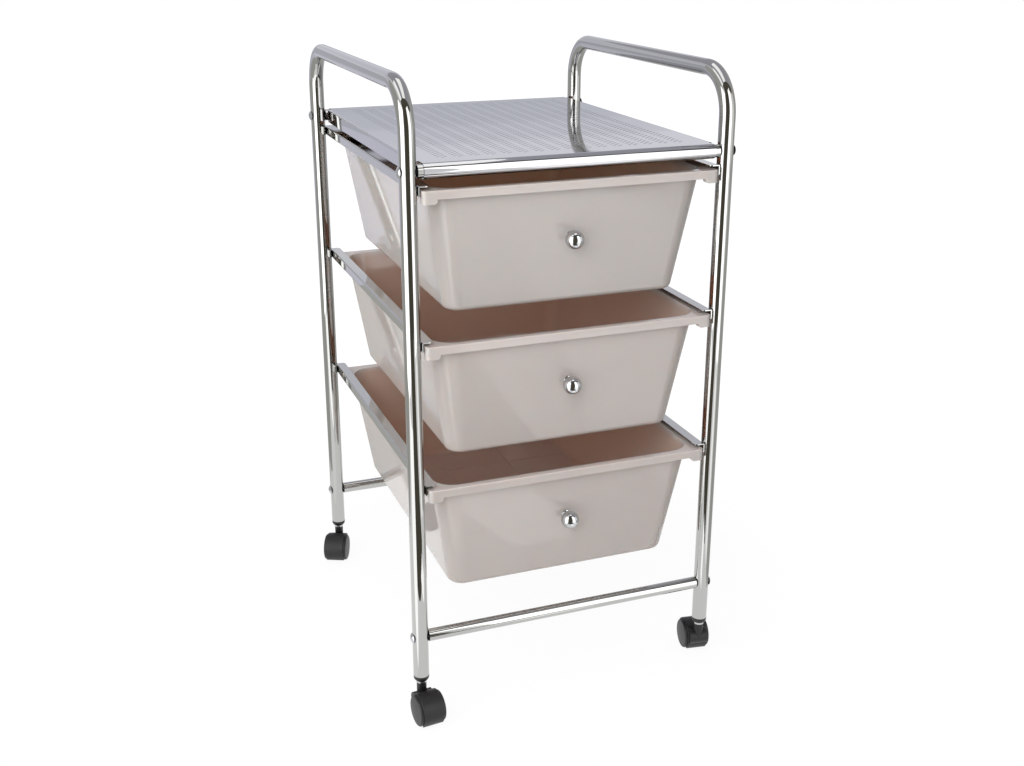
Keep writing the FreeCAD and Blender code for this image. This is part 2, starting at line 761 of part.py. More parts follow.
def make_knob(level, word):
    """Ball knob turned from one bar: base, neck and ball, bored from behind."""
    body = new_body(f"knob_{word}")
    ball_r = "knob_ball_dia / 2"
    neck_r = "knob_neck_dia / 2"
    neck_top = "(knob_base_height * 3 / 2 + knob_neck_length)"
    sunk = "sqrt(knob_ball_dia * knob_ball_dia - knob_neck_dia * knob_neck_dia) / 2"
    reach = f"({neck_top} + {sunk})"
    bore_r = "(knob_screw_dia / 2 + knob_screw_gap)"
    half = new_sketch(body, "XZ_Plane")
    outline(
        half,
        [
            (bore_r, "0"),
            ("knob_base_dia / 2", "0"),
            ("knob_base_dia / 2", "knob_base_height / 2"),
            (neck_r, "knob_base_height * 3 / 2"),
            (neck_r, neck_top, "0", reach, 1),
            ("0", f"{reach} + {ball_r}"),
            ("0", "knob_bore_depth"),
            (bore_r, "knob_bore_depth"),
        ],
    )
    revolve(body, half, "Z_Axis")
    place_on_front(body, level)
    keep(body.Name, body)


def make_knob_screw(level, word):
    """Pan-head screw through the drawer front into the knob."""
    body = new_body(f"knob_screw_{word}")
    seat = f"(-drawer_wall * cos({DRAFT_ANGLE}))"
    half = new_sketch(body, "XZ_Plane")
    head_r = "knob_screw_head_dia / 2"
    edge = "knob_screw_head_height / 2"
    outline(
        half,
        [
            ("0", f"{seat} - knob_screw_head_height"),
            (
                f"{head_r} - {edge}",
                f"{seat} - knob_screw_head_height",
                f"{head_r} - {edge}",
                f"{seat} - {edge}",
                1,
            ),
            (head_r, f"{seat} - {edge}"),
            (head_r, seat),
            ("knob_screw_dia / 2", seat),
            ("knob_screw_dia / 2", "knob_screw_bite"),
            ("0", "knob_screw_bite"),
        ],
    )
    revolve(body, half, "Z_Axis")
    place_on_front(body, level)
    keep(body.Name, body)


def place_caster(body, corner, along="0"):
    """Stand a caster's piece under its leg, turned about the stem."""
    x_side = "-" if corner.endswith("left") else ""
    y_side = "-" if corner.startswith("front") else ""
    place(body, x=f"{x_side}{LEG_X}", y=f"{y_side}{LEG_Y}", turn=along)


def make_leg_plug(corner):
    """Nylon plug in the leg's end, with a rounded collar and the stem's bore."""
    body = new_body(f"leg_plug_{corner}")
    bore_r = "(stem_dia / 2 + stem_gap)"
    barrel_r = f"({TUBE_INNER_R} - plug_gap)"
    narrowing = f"({TUBE_R} - washer_dia / 2)"
    taper = "(collar_height - collar_band)"
    taper_r = f"(({narrowing} * {narrowing} + {taper} * {taper}) / (2 * {narrowing}))"
    half = new_sketch(body, "XZ_Plane")
    outline(
        half,
        [
            (bore_r, WASHER_TOP),
            (
                "washer_dia / 2",
                WASHER_TOP,
                f"{TUBE_R} - {taper_r}",
                f"{LEG_END} - collar_band",
                1,
            ),
            (TUBE_R, f"{LEG_END} - collar_band"),
            (TUBE_R, LEG_END),
            (barrel_r, LEG_END),
            (barrel_r, f"{PLUG_TOP} - plug_lead"),
            (f"{barrel_r} - plug_lead", PLUG_TOP),
            (bore_r, PLUG_TOP),
        ],
    )
    revolve(body, half, "Z_Axis")
    place_caster(body, corner)
    keep(body.Name, body)


def make_caster_washer(corner):
    """Steel washer between the plug's collar and the turning neck."""
    body = new_body(f"caster_washer_{corner}")
    ring = new_sketch(body, "XY_Plane", NECK_TOP)
    circle(ring, "0", "0", "washer_dia / 2")
    circle(ring, "0", "0", "stem_dia / 2 + stem_gap")
    pad(body, ring, "washer_thickness")
    place_caster(body, corner)
    return body


def make_stem(corner, along):
    """Steel stem pressed into the neck, grooved for its clip."""
    body = new_body(f"caster_stem_{corner}")
    stem_r = "stem_dia / 2"
    groove_low = f"({PLUG_TOP} + clip_gap / 2)"
    groove_high = f"({groove_low} + clip_thickness + clip_gap)"
    tip = f"({groove_high} + stem_tip_height)"
    half = new_sketch(body, "XZ_Plane")
    outline(
        half,
        [
            ("0", f"{NECK_TOP} - stem_grip"),
            (stem_r, f"{NECK_TOP} - stem_grip"),
            (stem_r, groove_low),
            (f"{stem_r} - stem_groove_depth", groove_low),
            (f"{stem_r} - stem_groove_depth", groove_high),
            (stem_r, groove_high),
            (stem_r, f"{tip} - stem_tip_taper"),
            (f"{stem_r} - stem_tip_taper", tip),
            ("0", tip),
        ],
    )
    revolve(body, half, "Z_Axis")
    place_caster(body, corner, along)
    keep(body.Name, body)

    clip = new_body(f"stem_clip_{corner}")
    ring = new_sketch(clip, "XY_Plane", f"{groove_low} + clip_gap / 2")
    circle(ring, "0", "0", "clip_dia / 2")
    circle(ring, "0", "0", f"{stem_r} - stem_groove_depth + stem_press_gap")
    pad(clip, ring, "clip_thickness")
    place_caster(clip, corner, along)
    keep(clip.Name, clip)


def make_hood(corner, along):
    """Moulded hood: shell over both wheels, brow and neck at its end, boss."""
    body = new_body(f"caster_hood_{corner}")
    hood_r = "hood_dia / 2"
    axle_y = "-caster_trail"

    def disc(radius, half_width, y=axle_y, z=WHEEL_R):
        sketch = new_sketch(body, "YZ_Plane")
        circle(sketch, y, z, radius)
        pad(body, sketch, f"2 * {half_width}", symmetric=True)

    def round_sides(half_width):
        side = value(half_width)
        fillet(
            body,
            "hood_edge_radius",
            lambda edge: lies_at(edge, "x", side) or lies_at(edge, "x", -side),
        )

    disc(hood_r, "hood_half_width")
    round_sides("hood_half_width")
    brow_z = f"({WHEEL_R} + hood_brow_height)"
    disc(
        "hood_brow_dia / 2",
        "(hood_half_width - hood_edge_radius * 3 / 2)",
        "neck_dia / 2 + hood_brow_proud - hood_brow_dia / 2",
        brow_z,
    )
    cavity = new_sketch(body, "YZ_Plane")
    circle(cavity, axle_y, WHEEL_R, f"{hood_r} - hood_wall")
    pocket(body, cavity, "3 * hood_half_width", symmetric=True)
    neck = new_sketch(body, "XY_Plane", brow_z)
    circle(neck, "0", "0", "neck_dia / 2")
    pad(body, neck, "neck_rise - hood_brow_height")
    disc(f"({hood_r} - hood_wall / 2)", "hood_web / 2")
    disc("hood_boss_dia / 2", "hood_boss_half_width")
    bore = new_sketch(body, "YZ_Plane")
    circle(bore, axle_y, WHEEL_R, "axle_dia / 2 + axle_gap")
    pocket(body, bore, "3 * hood_half_width", symmetric=True)
    stem_bore = new_sketch(body, "XY_Plane", NECK_TOP)
    circle(stem_bore, "0", "0", "stem_dia / 2 + stem_press_gap")
    pocket(body, stem_bore, "stem_grip")
    ground = new_sketch(body, "XY_Plane", "hood_ground_gap")
    outline(
        ground,
        box_corners("-wheel_dia", "wheel_dia", "-2 * wheel_dia", "wheel_dia"),
    )
    pocket(body, ground, "wheel_dia")
    place_caster(body, corner, along)
    keep(body.Name, body)


def make_axle(corner, along):
    """Steel axle that both wheels turn on."""
    body = new_body(f"caster_axle_{corner}")
    sketch = new_sketch(body, "YZ_Plane")
    circle(sketch, "-caster_trail", WHEEL_R, "axle_dia / 2")
    pad(body, sketch, "2 * axle_half_length", symmetric=True)
    place_caster(body, corner, along)
    keep(body.Name, body)


def make_wheel(corner, word, turn, along):
    """Cup-shaped wheel: closed domed face, tread as wide as its half, hub."""
    body = new_body(f"wheel_{word}_{corner}")
    bore_r = "(axle_dia / 2 + axle_gap)"
    rim_r = "wheel_edge_radius"
    shoulder = f"(wheel_half_span - wheel_dome - {rim_r})"
    inner_face = "(hood_boss_half_width + wheel_side_gap)"
    cup = "(wheel_half_span - wheel_disc)"
    tread_inner = f"({WHEEL_R} - wheel_tread_wall)"
    half = new_sketch(body, "XY_Plane")
    outline(
        half,
        [
            (inner_face, bore_r),
            ("axle_half_length + wheel_side_gap", bore_r),
            ("axle_half_length + wheel_side_gap", "0"),
            ("wheel_half_span", "0"),
            ("wheel_half_span", "wheel_hub_dia / 2"),
            (
                "wheel_half_span - wheel_dome",
                f"{WHEEL_R} - {rim_r}",
                shoulder,
                f"{WHEEL_R} - {rim_r}",
                1,
            ),
            (shoulder, WHEEL_R),
            (inner_face, WHEEL_R),
            (inner_face, tread_inner),
            (cup, tread_inner),
            (cup, "wheel_hub_dia / 2"),
            (inner_face, "wheel_hub_dia / 2"),
        ],
    )
    revolve(body, half, "X_Axis")
    x_side = "-" if corner.endswith("left") else ""
    y_side = "-" if corner.startswith("front") else ""
    place(
        body,
        x=f"{x_side}{LEG_X} + caster_trail * sin({along} * 1deg)",
        y=f"{y_side}{LEG_Y} - caster_trail * cos({along} * 1deg)",
        z=WHEEL_R,
        turn=f"{along} + {turn}",
    )
    keep(body.Name, body)


make_side_frame("left", -1)
make_side_frame("right", 1)
for end_word, end_y in (("front", f"-{LEG_Y}"), ("rear", LEG_Y)):
    make_cross_tube(f"lower_tube_{end_word}", end_y, LOWER_TUBE_Z)
    make_cross_tube(f"shelf_tube_{end_word}", end_y, SHELF_TUBE_Z)
make_tube_inserts()
make_frame_screws()
make_shelf()
for drawer_level, drawer_word in enumerate(LEVELS):
    make_rails(drawer_level, drawer_word)
    make_drawer(drawer_level, drawer_word)
    make_knob(drawer_level, drawer_word)
    make_knob_screw(drawer_level, drawer_word)
washers = doc.addObject("Part::Compound", "caster_washers")
washers.Links = [make_caster_washer(corner) for corner in SWIVELS]
keep("caster_washers", washers)
for caster, swivel in SWIVELS.items():
    make_leg_plug(caster)
    make_stem(caster, str(swivel))
    make_hood(caster, str(swivel))
    make_axle(caster, str(swivel))
    make_wheel(caster, "right", 0, str(swivel))
    make_wheel(caster, "left", 180, str(swivel))
doc.recompute()

for item in doc.Objects:
    if "Invalid" in item.State or "Error" in item.State:
        raise RuntimeError(f"{item.Name} failed: {item.State}")
for name, node in nodes.items():
    if node.Shape.isNull() or not node.Shape.isValid():
        raise RuntimeError(f"{name} has no valid shape")

os.makedirs("parts", exist_ok=True)
for name, node in nodes.items():
    node.Shape.exportStep(f"parts/{name}.step")
print(f"{len(nodes)} sub-parts written")
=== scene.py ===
import math

import bmesh
import bpy
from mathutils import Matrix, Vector


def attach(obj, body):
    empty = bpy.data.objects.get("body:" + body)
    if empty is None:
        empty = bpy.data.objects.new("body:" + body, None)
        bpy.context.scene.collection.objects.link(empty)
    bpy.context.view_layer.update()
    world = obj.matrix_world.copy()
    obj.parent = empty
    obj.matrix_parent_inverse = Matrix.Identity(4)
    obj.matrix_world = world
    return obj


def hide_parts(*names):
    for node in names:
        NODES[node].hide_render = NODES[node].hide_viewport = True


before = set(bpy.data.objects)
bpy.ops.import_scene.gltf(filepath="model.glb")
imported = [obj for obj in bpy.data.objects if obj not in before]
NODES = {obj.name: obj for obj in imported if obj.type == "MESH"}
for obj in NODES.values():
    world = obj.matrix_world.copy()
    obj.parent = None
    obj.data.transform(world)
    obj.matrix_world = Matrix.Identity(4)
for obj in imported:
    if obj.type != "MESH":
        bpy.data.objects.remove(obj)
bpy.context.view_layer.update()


# Side frames: each is one drawn steel tube bent into leg, handle bar and leg, then
# nickel and chrome plated. The plate is mirror bright, with the faint lengthwise
# lines of the drawn tube below it and a little haze where hands hold the bar.
def linear(code):
    """An sRGB hex colour as linear red, green, blue and alpha."""
    parts = [int(code[i : i + 2], 16) / 255 for i in (1, 3, 5)]
    return [c / 12.92 if c <= 0.04045 else ((c + 0.055) / 1.055) ** 2.4 for c in parts] + [1]


def new_material(name):
    """An empty node material with its output, and the output node."""
    material = bpy.data.materials.new(name)
    material.use_nodes = True
    material.node_tree.nodes.clear()
    return material, material.node_tree.nodes.new("ShaderNodeOutputMaterial")


def add(material, kind, links=None, **settings):
    """Add one node with its settings, and its sockets' values or links."""
    tree = material.node_tree
    node = tree.nodes.new(kind)
    for setting, value in settings.items():
        setattr(node, setting, value)
    for socket, value in (links or {}).items():
        if isinstance(value, bpy.types.NodeSocket):
            tree.links.new(value, node.inputs[socket])
        else:
            node.inputs[socket].default_value = value
    return node


def add_surface(material, output, shader):
    material.node_tree.links.new(shader.outputs[0], output.inputs["Surface"])


def chrome_on_tube(name, axis, plate):
    """Bright chrome over drawn tube, whose lines run along an axis."""
    # The real lines are finer than a pixel, so they are drawn 1.1 mm apart.
    line_pitch = 0.0011
    line_length = 60 * line_pitch
    haze_width = 0.035
    material, output = new_material(name)
    place = add(material, "ShaderNodeTexCoord").outputs["Object"]
    stretch = [1.0 / line_pitch] * 3
    stretch["XYZ".index(axis)] = 1.0 / line_length
    along = add(material, "ShaderNodeMapping", {"Vector": place, "Scale": stretch})
    lines = add(
        material,
        "ShaderNodeTexNoise",
        {"Vector": along.outputs[0], "Scale": 1.0, "Detail": 2.0},
    )
    haze = add(
        material,
        "ShaderNodeTexNoise",
        {"Vector": place, "Scale": 1 / haze_width, "Detail": 3.0},
    )
    rough = add(
        material,
        "ShaderNodeMapRange",
        {
            "Value": haze.outputs["Fac"],
            "From Min": 0.35,
            "From Max": 0.75,
            "To Min": 0.03,
            "To Max": 0.075,
        },
    )
    relief = add(
        material,
        "ShaderNodeBump",
        {"Height": lines.outputs["Fac"], "Strength": 0.05, "Distance": 0.00002},
    )
    metal = add(
        material,
        "ShaderNodeBsdfPrincipled",
        {
            "Base Color": linear(plate),
            "Metallic": 1.0,
            "Roughness": rough.outputs[0],
            "Normal": relief.outputs[0],
        },
    )
    add_surface(material, output, metal)
    return material


def dress(node, material):
    """Give a CAD node one material in all its slots."""
    target = NODES[node]
    if not target.data.materials:
        target.data.materials.append(material)
    for index in range(len(target.data.materials)):
        target.data.materials[index] = material


CHROME_PLATE = "#BCBCBA"
upright_chrome = chrome_on_tube("chromed_drawn_steel_tube", "Z", CHROME_PLATE)
for side in ("left", "right"):
    dress(f"side_frame_{side}", upright_chrome)


# Cross tubes: thinner drawn tube, cut square and chromed like the frames. Two hold
# the shelf and two brace the legs near the floor. Plugs of nylon close their ends.
cross_chrome = chrome_on_tube("chromed_drawn_cross_tube", "X", CHROME_PLATE)
for node in ("lower_tube_front", "lower_tube_rear", "shelf_tube_front", "shelf_tube_rear"):
    dress(node, cross_chrome)


# Black nylon plugs, moulded: inserts in the cross tubes, and the plugs and collars
# in the leg ends. Nylon from a spark-eroded mould looks satin, with a fine grain.
def moulded_nylon(name, shades, grain, dullness):
    """Satin black nylon, with its grain's width in metres, drawn coarse enough to show."""
    material, output = new_material(name)
    cloud_width = 30 * grain
    place = add(material, "ShaderNodeTexCoord").outputs["Object"]
    grit = add(
        material,
        "ShaderNodeTexNoise",
        {"Vector": place, "Scale": 1 / grain, "Detail": 2.0},
    )
    cloud = add(
        material,
        "ShaderNodeTexNoise",
        {"Vector": place, "Scale": 1 / cloud_width, "Detail": 3.0},
    )
    tint = add(
        material,
        "ShaderNodeMix",
        {"Factor": cloud.outputs["Fac"], "A": linear(shades[0]), "B": linear(shades[1])},
        data_type="RGBA",
    )
    rough = add(
        material,
        "ShaderNodeMapRange",
        {
            "Value": cloud.outputs["Fac"],
            "To Min": dullness - 0.06,
            "To Max": dullness + 0.08,
        },
    )
    relief = add(
        material,
        "ShaderNodeBump",
        {"Height": grit.outputs["Fac"], "Strength": 0.35, "Distance": 0.00004},
    )
    body = add(
        material,
        "ShaderNodeBsdfPrincipled",
        {
            "Base Color": tint.outputs["Result"],
            "Roughness": rough.outputs[0],
            "IOR": 1.53,
            "Specular IOR Level": 0.45,
            "Normal": relief.outputs[0],
        },
    )
    add_surface(material, output, body)
    return material


CORNERS = ("front_left", "front_right", "rear_left", "rear_right")
PLUG_GRAIN = 0.0005
plug_nylon = moulded_nylon(
    "moulded_black_nylon_plug", ("#161617", "#1E1E1F"), PLUG_GRAIN, dullness=0.34
)
dress("tube_inserts", plug_nylon)
for corner in CORNERS:
    dress(f"leg_plug_{corner}", plug_nylon)


# Frame screws: steel, domed heads, bright zinc plate. They pass through the legs
# into the inserts. Zinc is paler and softer in its shine than the chrome.
def plated_steel(name, tone, roughness):
    """Zinc-plated or turned bright steel; its machining marks are drawn coarse to show."""
    material, output = new_material(name)
    mark_width = 0.0009
    place = add(material, "ShaderNodeTexCoord").outputs["Object"]
    marks = add(
        material,
        "ShaderNodeTexNoise",
        {"Vector": place, "Scale": 1 / mark_width, "Detail": 3.0},
    )
    rough = add(
        material,
        "ShaderNodeMapRange",
        {
            "Value": marks.outputs["Fac"],
            "To Min": roughness * 0.7,
            "To Max": roughness * 1.4,
        },
    )
    relief = add(
        material,
        "ShaderNodeBump",
        {"Height": marks.outputs["Fac"], "Strength": 0.15, "Distance": 0.00003},
    )
    metal = add(
        material,
        "ShaderNodeBsdfPrincipled",
        {
            "Base Color": linear(tone),
            "Metallic": 1.0,
            "Roughness": rough.outputs[0],
            "Normal": relief.outputs[0],
        },
    )
    add_surface(material, output, metal)
    return material


zinc = plated_steel("bright_zinc_plated_steel", "#C9CBCE", roughness=0.18)
dress("frame_screws", zinc)


# Rails: strips of steel folded into channels, welded inside the legs and chromed
# with them. They are flat mirrors, slightly wavy from the folding.
def chrome_on_sheet(name, plate, wave_width, wave_depth, roughness):
    """Chrome over a worked face: a mirror with slow waves, their sizes in metres."""
    material, output = new_material(name)
    haze_width = 0.02
    place = add(material, "ShaderNodeTexCoord").outputs["Object"]
    swell = add(
        material,
        "ShaderNodeTexNoise",
        {"Vector": place, "Scale": 1 / wave_width, "Detail": 1.0},
    )
    haze = add(
        material,
        "ShaderNodeTexNoise",
        {"Vector": place, "Scale": 1 / haze_width, "Detail": 3.0},
    )
    rough = add(
        material,
        "ShaderNodeMapRange",
        {
            "Value": haze.outputs["Fac"],
            "From Min": 0.3,
            "From Max": 0.8,
            "To Min": roughness,
            "To Max": roughness * 2,
        },
    )
    relief = add(
        material,
        "ShaderNodeBump",
        {"Height": swell.outputs["Fac"], "Strength": 1.0, "Distance": wave_depth},
    )
    metal = add(
        material,
        "ShaderNodeBsdfPrincipled",
        {
            "Base Color": linear(plate),
            "Metallic": 1.0,
            "Roughness": rough.outputs[0],
            "Normal": relief.outputs[0],
        },
    )
    add_surface(material, output, metal)
    return material


LEVELS = ("bottom", "middle", "top")
rail_chrome = chrome_on_sheet(
    "chromed_folded_strip",
    CHROME_PLATE,
    wave_width=0.03,
    wave_depth=0.00004,
    roughness=0.04,
)
for level in LEVELS:
    for side in ("left", "right"):
        dress(f"rail_{side}_{level}", rail_chrome)


# Shelf: one steel sheet, pressed all over with columns of small round dimples, its
# front and rear edges rolled round the upper cross tubes and its sides folded down.
# It is chromed last, so that each dimple is a small dark-edged bowl in the mirror.
def node_box(node):
    """Lowest and highest corner of a CAD node at rest."""
    points = [vertex.co for vertex in NODES[node].data.vertices]
    low = Vector([min(point[axis] for point in points) for axis in range(3)])
    high = Vector([max(point[axis] for point in points) for axis in range(3)])
    return low, high


tube_low, tube_high = node_box("shelf_tube_rear")
SHELF_TUBE_Y = (tube_low.y + tube_high.y) / 2
SHELF_TUBE_Z = (tube_low.z + tube_high.z) / 2
SHELF_HALF_WIDTH = node_box("top_shelf")[1].x
SHELF_HALF_ROLL = SHELF_HALF_WIDTH - 0.0040  # the rolls end short of the folds
SHELF_HALF_FLANGE = 0.1750
SHELF_SHEET = 0.0008
SHELF_OUTER_R = 0.0071
SHELF_INNER_R = SHELF_OUTER_R - SHELF_SHEET
SHELF_FOLD_R = 0.0020
SHELF_FLANGE = 0.0140
SHELF_LAP = math.radians(214)  # how far the sheet goes round its tube
ROLL_STEPS = 40
FOLD_STEPS = 8
BAND_PITCH = 0.0160  # a band is three columns of dimples and a plain strip
BANDS = 16
BAND_COLUMNS = (-1, 0, 1)
DIMPLE_PITCH_X = 0.0036
DIMPLE_PITCH_Y = 0.0072
DIMPLE_ROWS = 46
DIMPLE_R = 0.00145
DIMPLE_DEPTH = 0.00030
DIMPLE_SIDES = 10
DIMPLE_RINGS = ((1.0, 0.0), (0.72, 0.62), (0.3, 1.0))  # shares of radius and depth
SHARP_SHEET_EDGE = math.radians(24)
MERGE_DISTANCE = 1e-6


def ribbon(bm, outer, painted_bounce, place, ends):
    """A thick strip between two matching lines of points, run between two ends."""
    rings = []
    for end in ends:
        rings.append(
            [[bm.verts.new(place(end, a, b)) for a, b in line] for line in (outer, painted_bounce)]
        )
    (low_out, low_in), (high_out, high_in) = rings
    for i in range(len(outer) - 1):
        bm.faces.new((low_out[i], low_out[i + 1], high_out[i + 1], high_out[i]))
        bm.faces.new((high_in[i], high_in[i + 1], low_in[i + 1], low_in[i]))
        bm.faces.new((low_out[i], low_in[i], low_in[i + 1], low_out[i + 1]))
        bm.faces.new((high_out[i + 1], high_in[i + 1], high_in[i], high_out[i]))
    for i in (0, -1):
        bm.faces.new((low_out[i], high_out[i], high_in[i], low_in[i]))


def flat(bm, x_low, x_high, y_low, y_high, z):
    """A level rectangle of sheet."""
    corners = ((x_low, y_low), (x_high, y_low), (x_high, y_high), (x_low, y_high))
    bm.faces.new([bm.verts.new((x, y, z)) for x, y in corners])


def dimple_cell(bm, x, y, half_x, half_y, z):
    """One cell of sheet with a bowl pressed into its middle."""
    steps = [math.tau * (i + 0.5) / DIMPLE_SIDES for i in range(DIMPLE_SIDES)]
    rings = []
    for radius_share, depth_share in DIMPLE_RINGS:
        radius = DIMPLE_R * radius_share
        ring_z = z - DIMPLE_DEPTH * depth_share
        ring = [(x + radius * math.cos(a), y + radius * math.sin(a), ring_z) for a in steps]
        rings.append([bm.verts.new(point) for point in ring])
    for upper, lower in zip(rings, rings[1:]):
        for i in range(DIMPLE_SIDES):
            j = (i + 1) % DIMPLE_SIDES
            bm.faces.new((upper[i], upper[j], lower[j], lower[i]))
    bm.faces.new(rings[-1])
    edge = []
    nearly_zero = 1e-9
    for a in steps:
        reach_x = half_x / max(abs(math.cos(a)), nearly_zero)
        reach_y = half_y / max(abs(math.sin(a)), nearly_zero)
        reach = min(reach_x, reach_y)
        edge.append(bm.verts.new((x + reach * math.cos(a), y + reach * math.sin(a), z)))
    corner_signs = ((1, 1), (-1, 1), (-1, -1), (1, -1))
    corners = [math.atan2(sy * half_y, sx * half_x) % math.tau for sx, sy in corner_signs]
    for i in range(DIMPLE_SIDES):
        j = (i + 1) % DIMPLE_SIDES
        low, high = steps[i], steps[j] if j else steps[j] + math.tau
        between = [c for c in corners if low < c < high]
        face = [rings[0][i], edge[i]]
        for c in between:
            sx = 1 if math.cos(c) > 0 else -1
            sy = 1 if math.sin(c) > 0 else -1
            face.append(bm.verts.new((x + sx * half_x, y + sy * half_y, z)))
        bm.faces.new(face + [edge[j], rings[0][j]])


shelf_mesh = bmesh.new()
top_z = SHELF_TUBE_Z + SHELF_OUTER_R
under_z = SHELF_TUBE_Z + SHELF_INNER_R
turns = [SHELF_LAP * i / ROLL_STEPS for i in range(ROLL_STEPS + 1)]
outer_roll = [(SHELF_OUTER_R * math.sin(t), SHELF_OUTER_R * math.cos(t)) for t in turns]
inner_roll = [(SHELF_INNER_R * math.sin(t), SHELF_INNER_R * math.cos(t)) for t in turns]
for way in (-1, 1):
    ribbon(
        shelf_mesh,
        outer_roll,
        inner_roll,
        lambda x, a, b: (x, way * (SHELF_TUBE_Y + a), SHELF_TUBE_Z + b),
        (-SHELF_HALF_ROLL, SHELF_HALF_ROLL),
    )
fold_turns = [math.pi / 2 * i / FOLD_STEPS for i in range(FOLD_STEPS + 1)]
fold_outer = [
    (SHELF_FOLD_R * math.sin(t), SHELF_FOLD_R * (math.cos(t) - 1)) for t in fold_turns
]
inner_r = SHELF_FOLD_R - SHELF_SHEET
fold_inner = [
    (inner_r * math.sin(t), inner_r * math.cos(t) - SHELF_FOLD_R) for t in fold_turns
]
fold_outer.append((SHELF_FOLD_R, -SHELF_FLANGE))
fold_inner.append((inner_r, -SHELF_FLANGE))
fold_x = SHELF_HALF_WIDTH - SHELF_FOLD_R
for way in (-1, 1):
    ribbon(
        shelf_mesh,
        fold_outer,
        fold_inner,
        lambda y, a, b: (way * (fold_x + a), y, top_z + b),
        (-SHELF_HALF_FLANGE, SHELF_HALF_FLANGE),
    )
field_x = BAND_PITCH * BANDS / 2
field_y = DIMPLE_PITCH_Y * (DIMPLE_ROWS + 0.5) / 2
for z in (top_z, under_z):
    flat(shelf_mesh, -fold_x, -field_x, -SHELF_HALF_FLANGE, SHELF_HALF_FLANGE, z)
    flat(shelf_mesh, field_x, fold_x, -SHELF_HALF_FLANGE, SHELF_HALF_FLANGE, z)
    for way in (-1, 1):
        inner_y, outer_y = sorted((way * field_y, way * SHELF_HALF_FLANGE))
        flat(shelf_mesh, -field_x, field_x, inner_y, outer_y, z)
        inner_y, outer_y = sorted((way * SHELF_HALF_FLANGE, way * SHELF_TUBE_Y))
        flat(shelf_mesh, -SHELF_HALF_ROLL, SHELF_HALF_ROLL, inner_y, outer_y, z)
flat(shelf_mesh, -field_x, field_x, -field_y, field_y, under_z)
# The plain strips are cut into short pieces, since very long thin faces shade badly.
for band in range(BANDS):
    middle = (band - (BANDS - 1) / 2) * BAND_PITCH
    band_edge = len(BAND_COLUMNS) / 2 * DIMPLE_PITCH_X
    for step in range(DIMPLE_ROWS):
        near, far = (field_y * (2 * (step + i) / DIMPLE_ROWS - 1) for i in (0, 1))
        flat(shelf_mesh, middle - BAND_PITCH / 2, middle - band_edge, near, far, top_z)
        flat(shelf_mesh, middle + band_edge, middle + BAND_PITCH / 2, near, far, top_z)
    for column in BAND_COLUMNS:
        x = middle + column * DIMPLE_PITCH_X
        # The middle column stands half a pitch off from its neighbours.
        shift = DIMPLE_PITCH_Y / 4 * (1 if column else -1)
        first = -DIMPLE_PITCH_Y * (DIMPLE_ROWS - 1) / 2 + shift
        half_x = DIMPLE_PITCH_X / 2
        half_y = DIMPLE_PITCH_Y / 2
        for row in range(DIMPLE_ROWS):
            y = first + row * DIMPLE_PITCH_Y
            dimple_cell(shelf_mesh, x, y, half_x, half_y, top_z)
        last_edge = first + DIMPLE_PITCH_Y * (DIMPLE_ROWS - 0.5)
        flat(shelf_mesh, x - half_x, x + half_x, -field_y, first - half_y, top_z)
        flat(shelf_mesh, x - half_x, x + half_x, last_edge, field_y, top_z)
bmesh.ops.remove_doubles(shelf_mesh, verts=shelf_mesh.verts, dist=MERGE_DISTANCE)
bmesh.ops.recalc_face_normals(shelf_mesh, faces=shelf_mesh.faces)
# Loose patches can still face into the sheet: the top is turned up, the underside down.
middle_z = (top_z + under_z) / 2
nearly_upright = 0.9
sheet_reach = 0.6 * SHELF_SHEET
for face in shelf_mesh.faces:
    face.smooth = True
    above = face.calc_center_median().z - middle_z
    level_face = abs(face.normal.z) > nearly_upright and abs(above) < sheet_reach
    if level_face and above * face.normal.z < 0:
        face.normal_flip()
shelf_data = bpy.data.meshes.new("dimpled_shelf_sheet")
shelf_mesh.to_mesh(shelf_data)
shelf_mesh.free()
shelf_data.set_sharp_from_angle(angle=SHARP_SHEET_EDGE)
shelf = bpy.data.objects.new("dimpled_shelf_sheet", shelf_data)
bpy.context.scene.collection.objects.link(shelf)
sheet_chrome = chrome_on_sheet(
    "chromed_dimpled_sheet",
    "#C0C0C2",
    wave_width=0.045,
    wave_depth=0.00001,
    roughness=0.03,
)
shelf_data.materials.append(sheet_chrome)
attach(shelf, "frame")
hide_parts("top_shelf")


# Drawers: glossy taupe polypropylene, injection moulded in one shot. Polished mould
# faces give a soft mirror with a slight orange peel. Light that enters the bin
# bounces from wall to wall, so the inside looks far warmer and darker; this bounce
# light and shade is painted into the colours inside the bin.
OUTSIDE = ("#C9C0BC", "#CEC5C1")
# Painted bounce light and shade: the warmer colours inside each bin, one pair per level.
PAINTED_BOUNCE_INSIDE = {
    "bottom": ("#C4B2A8", "#CAB8AE"),
    "middle": ("#C4B2A8", "#CAB8AE"),
    "top": ("#CDC3BC", "#D2C8C1"),
}
BIN_MIDDLE_Y = -0.0076
LIP_Z = {level: node_box(f"drawer_{level}")[1].z for level in LEVELS}


